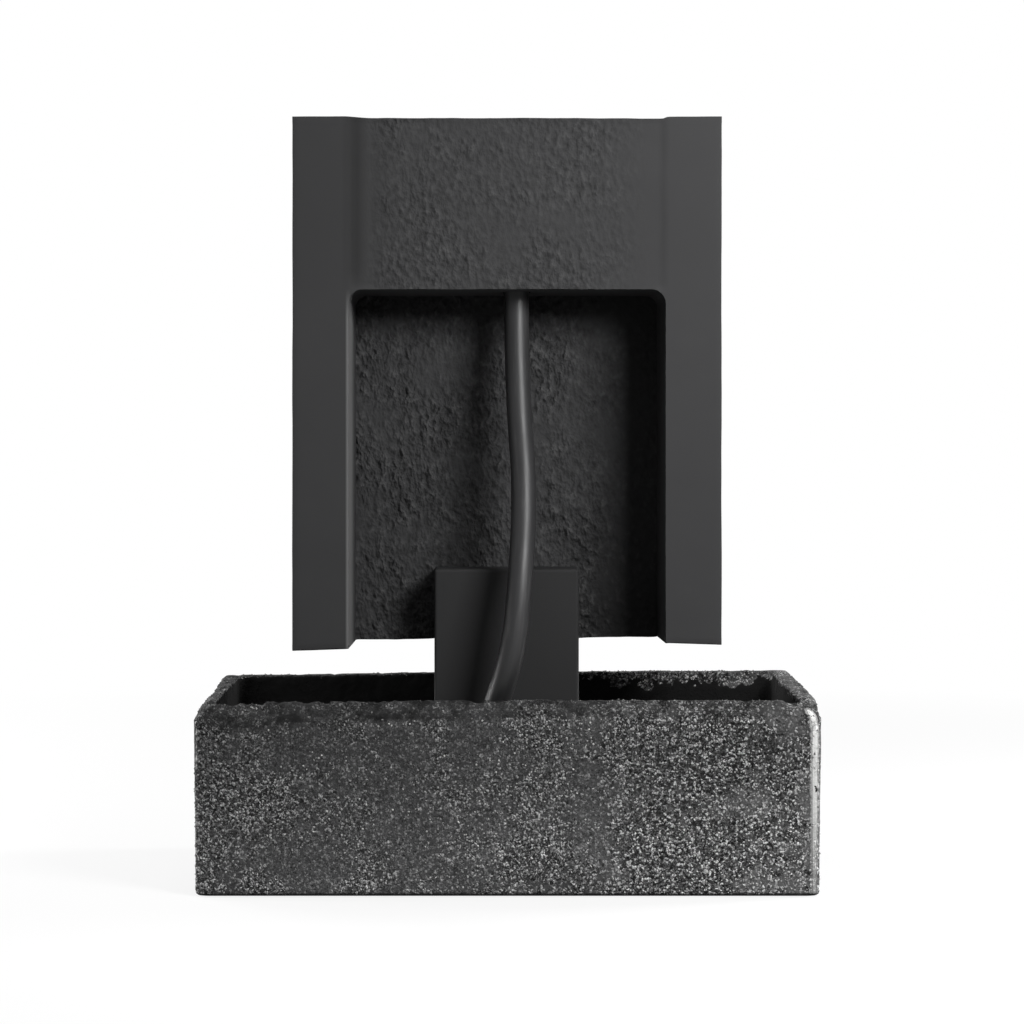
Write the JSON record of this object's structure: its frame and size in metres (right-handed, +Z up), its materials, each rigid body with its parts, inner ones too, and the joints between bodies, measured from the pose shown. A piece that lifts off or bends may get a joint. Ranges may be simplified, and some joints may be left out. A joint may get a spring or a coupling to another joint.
{
  "type": "garden wall fountain",
  "caption": "Cast stone garden fountain: a basin, a pedestal and a wall panel with a weir spout, fed by a small submersible pump through a hose in the panel's open back.",
  "frame": {"origin": "centre of the basin's underside", "axes": "+Z up, +Y towards the side where the water falls, -Y the open back with the hose, +X to the right seen from the back"},
  "size_m": [0.6216, 0.3498, 0.777],
  "materials": {
    "rough_stone": "rough, speckled, chipped at the rim",
    "cast_stone": "smooth ribs and a trowelled back",
    "smooth_stone": "smooth, fine grained",
    "black_rubber": "matt",
    "black_vinyl": "smooth, satin",
    "stainless_steel": "brushed",
    "brass": "turned",
    "black_plastic": "fine moulded texture",
    "grey_plastic": "moulded",
    "white_plastic": "moulded",
    "ferrite": "ground",
    "white_ceramic": "polished"
  },
  "bodies": {
    "root": {"basin": "rough_stone", "pedestal": "smooth_stone", "pedestal_pads": "black_rubber", "ledge_pads": "black_rubber", "wall_panel": "cast_stone", "spout_box": "stainless_steel", "spout_gasket": "black_rubber", "spout_screws": "stainless_steel", "spout_baffle": "stainless_steel", "spout_tailpiece": "brass", "tailpiece_washer": "black_rubber", "tailpiece_nut": "brass", "supply_hose": "black_vinyl", "hose_clamp": "stainless_steel", "clamp_screw": "stainless_steel", "hose_adapter": "black_plastic", "pump_body": "black_plastic", "volute_cover": "black_plastic", "cover_seal": "black_rubber", "cover_screws": "stainless_steel", "rotor_shaft": "white_ceramic", "front_bush": "black_rubber", "rear_bush": "black_rubber", "suction_cups": "black_rubber", "cord_gland": "black_plastic"},
    "rotor": {"impeller": "white_plastic", "rotor_magnet": "ferrite"},
    "flow_control": {"flow_dial": "grey_plastic"},
    "intake_guard": {"intake_cover": "black_plastic"},
    "drain_plug": {"drain_stopper": "black_rubber"}
  },
  "joints": [
    {"name": "impeller_spin", "type": "hinge", "parent": "root", "child": "rotor", "pos_m": [-0.011, -0.108, 0.059], "axis": [1, 0, 0], "continuous": true},
    {"name": "flow_dial_turn", "type": "hinge", "parent": "root", "child": "flow_control", "pos_m": [-0.011, -0.108, 0.059], "axis": [-1, 0, 0], "range_deg": [0, 60]},
    {"name": "intake_cover_pull", "type": "slide", "parent": "root", "child": "intake_guard", "axis": [-1, 0, 0], "range_m": [0, 0.05]},
    {"name": "stopper_pull", "type": "slide", "parent": "root", "child": "drain_plug", "axis": [0, 0, 1], "range_m": [0, 0.05]}
  ]
}
